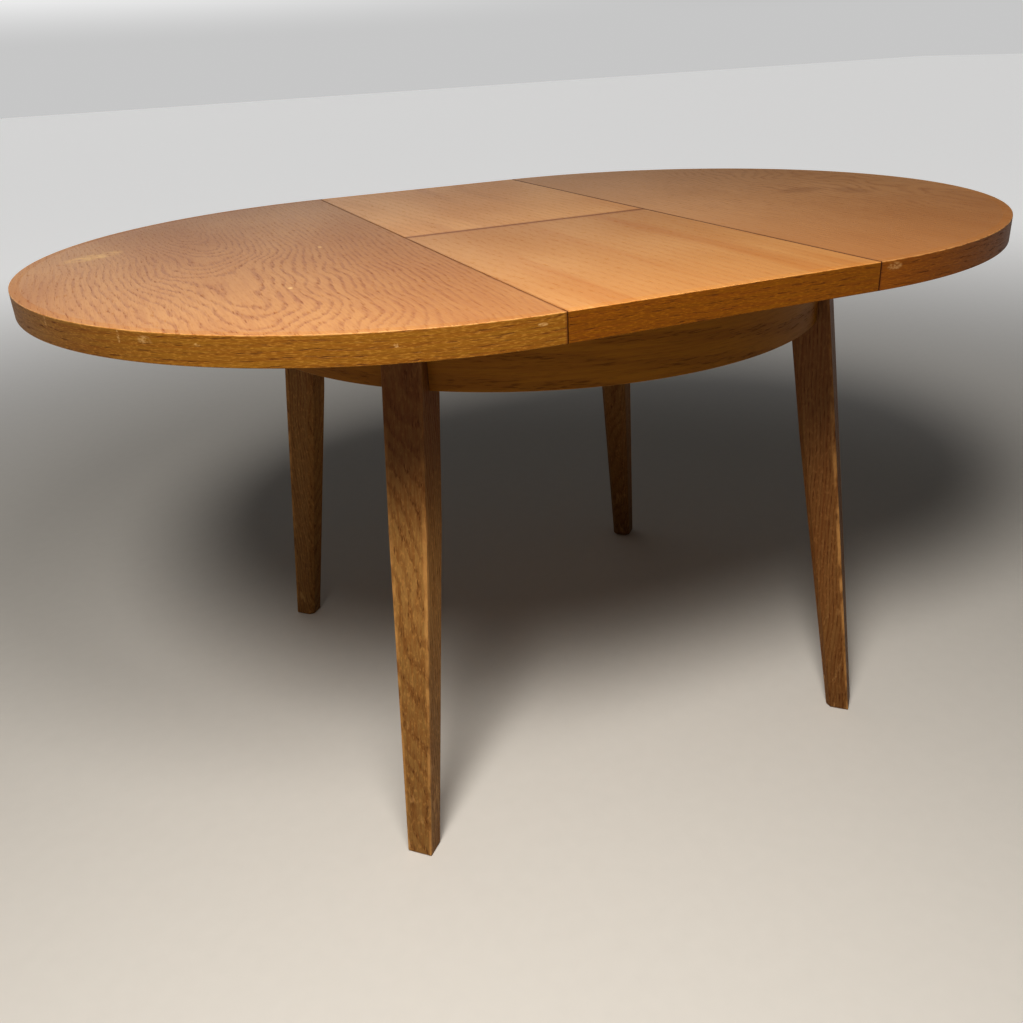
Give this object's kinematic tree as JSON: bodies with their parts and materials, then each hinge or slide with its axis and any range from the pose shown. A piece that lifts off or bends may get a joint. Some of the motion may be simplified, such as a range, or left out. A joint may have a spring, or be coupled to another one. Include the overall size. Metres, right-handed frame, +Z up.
{
  "type": "extending dining table",
  "caption": "Round wooden dining table drawn open to an oval, with a folding butterfly leaf in the middle and splayed tapered legs.",
  "frame": {"origin": "on the floor under the middle of the table, at the centre of the base of its box", "axes": "+X along the table's long axis, the way the right half draws out; +Y towards the back; +Z up"},
  "size_m": [1.39, 1.01, 0.74],
  "materials": {
    "top_veneer": "satin lacquered oak veneer, reddish brown",
    "leaf_veneer": "satin lacquered oak veneer, golden",
    "lipping": "satin lacquered solid oak, worn arrises",
    "leg_oak": "satin lacquered solid oak, flecked grain",
    "apron_veneer": "satin lacquered oak veneer, grain along the rail",
    "beech": "bare planed beech",
    "steel": "zinc plated",
    "brass": "brushed brass"
  },
  "bodies": {
    "frame": {"leg_front_left": "leg_oak", "leg_front_right": "leg_oak", "leg_back_left": "leg_oak", "leg_back_right": "leg_oak", "corner_block_front_left": "beech", "corner_block_front_right": "beech", "corner_block_back_left": "beech", "corner_block_back_right": "beech", "hanger_bolt_front_left": "steel", "hanger_bolt_front_right": "steel", "hanger_bolt_back_left": "steel", "hanger_bolt_back_right": "steel", "hanger_nut_front_left": "steel", "hanger_nut_front_right": "steel", "hanger_nut_back_left": "steel", "hanger_nut_back_right": "steel", "apron_front": "apron_veneer", "apron_back": "apron_veneer", "apron_left": "apron_veneer", "apron_right": "apron_veneer", "guide_rail_front": "beech", "guide_rail_back": "beech", "well_bearer_left": "beech", "well_bearer_right": "beech"},
    "left_half": {"left_top_panel": "top_veneer", "left_edge_lipping": "lipping", "left_runner_front": "beech", "left_runner_back": "beech", "left_front_seam_screw": "steel", "left_front_end_screw": "steel", "left_back_seam_screw": "steel", "left_back_end_screw": "steel"},
    "right_half": {"right_top_panel": "top_veneer", "right_edge_lipping": "lipping", "right_runner_front": "beech", "right_runner_back": "beech", "right_front_seam_screw": "steel", "right_front_end_screw": "steel", "right_back_seam_screw": "steel", "right_back_end_screw": "steel"},
    "leaf_back": {"leaf_back_panel": "leaf_veneer", "leaf_back_lipping": "lipping", "hinge_left_back_barrel": "brass", "hinge_right_back_barrel": "brass", "hinge_left_link": "brass", "hinge_right_link": "brass"},
    "leaf_front": {"leaf_front_panel": "leaf_veneer", "leaf_front_lipping": "lipping", "hinge_left_front_barrel": "brass", "hinge_right_front_barrel": "brass"}
  },
  "joints": [
    {"name": "left_half_slide", "type": "slide", "parent": "frame", "child": "left_half", "axis": [-1, 0, 0], "range_m": [0, 0.03]},
    {"name": "right_half_slide", "type": "slide", "parent": "frame", "child": "right_half", "axis": [1, 0, 0], "range_m": [0, 0.03]},
    {"name": "leaf_lift", "type": "slide", "parent": "frame", "child": "leaf_back", "axis": [0, 0, 1], "range_m": [0, 0.12]},
    {"name": "leaf_fold", "type": "hinge", "parent": "leaf_back", "child": "leaf_front", "pos_m": [0, 0, 0.7404], "axis": [-1, 0, 0], "range_deg": [0, 180]}
  ]
}
